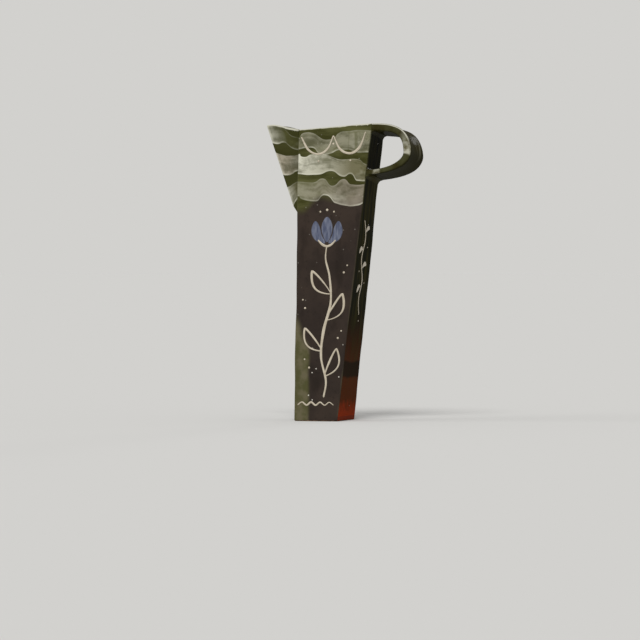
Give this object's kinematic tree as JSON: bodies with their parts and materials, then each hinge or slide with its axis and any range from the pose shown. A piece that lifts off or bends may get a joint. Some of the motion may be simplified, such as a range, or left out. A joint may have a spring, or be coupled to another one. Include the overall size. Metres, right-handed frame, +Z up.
{
  "type": "slab-built jug",
  "caption": "Tall slab-built ceramic jug with a leaning flat-sided body, a folded beak spout and a broad strap handle flush with the rim, for pouring or display.",
  "frame": {"origin": "middle of the foot, on the surface that the jug stands on", "axes": "+Z up, +X from the spout towards the handle, -Y out of the decorated front"},
  "size_m": [0.2662, 0.097, 0.5],
  "materials": {
    "foot_clay": "bare fired clay under a charcoal glaze edge",
    "charcoal_glaze": "satin charcoal-brown glaze with small pits",
    "dark_olive_glaze": "glossy dark olive glaze, browner at the foot",
    "brushed_slip": "pale slip brushed in streaks over olive glaze",
    "olive_glaze": "glossy olive glaze breaking pale on the edges",
    "inner_glaze": "satin olive-brown glaze on the inside"
  },
  "bodies": {
    "root": {"base_slab": "foot_clay", "front_slab": "charcoal_glaze", "back_slab": "charcoal_glaze", "spout_side_slab": "charcoal_glaze", "handle_side_slab": "dark_olive_glaze", "spout_front_cheek": "brushed_slip", "spout_back_cheek": "brushed_slip", "handle_strap": "olive_glaze", "handle_top_coil": "olive_glaze", "handle_foot_upper_coil": "olive_glaze", "handle_foot_lower_coil": "olive_glaze", "spout_ridge_coil": "inner_glaze", "corner_coil_front_spout": "inner_glaze", "corner_coil_front_handle": "inner_glaze", "corner_coil_back_spout": "inner_glaze", "corner_coil_back_handle": "inner_glaze", "floor_coil_front": "inner_glaze", "floor_coil_back": "inner_glaze", "floor_coil_spout": "inner_glaze", "floor_coil_handle": "inner_glaze"}
  },
  "joints": []
}
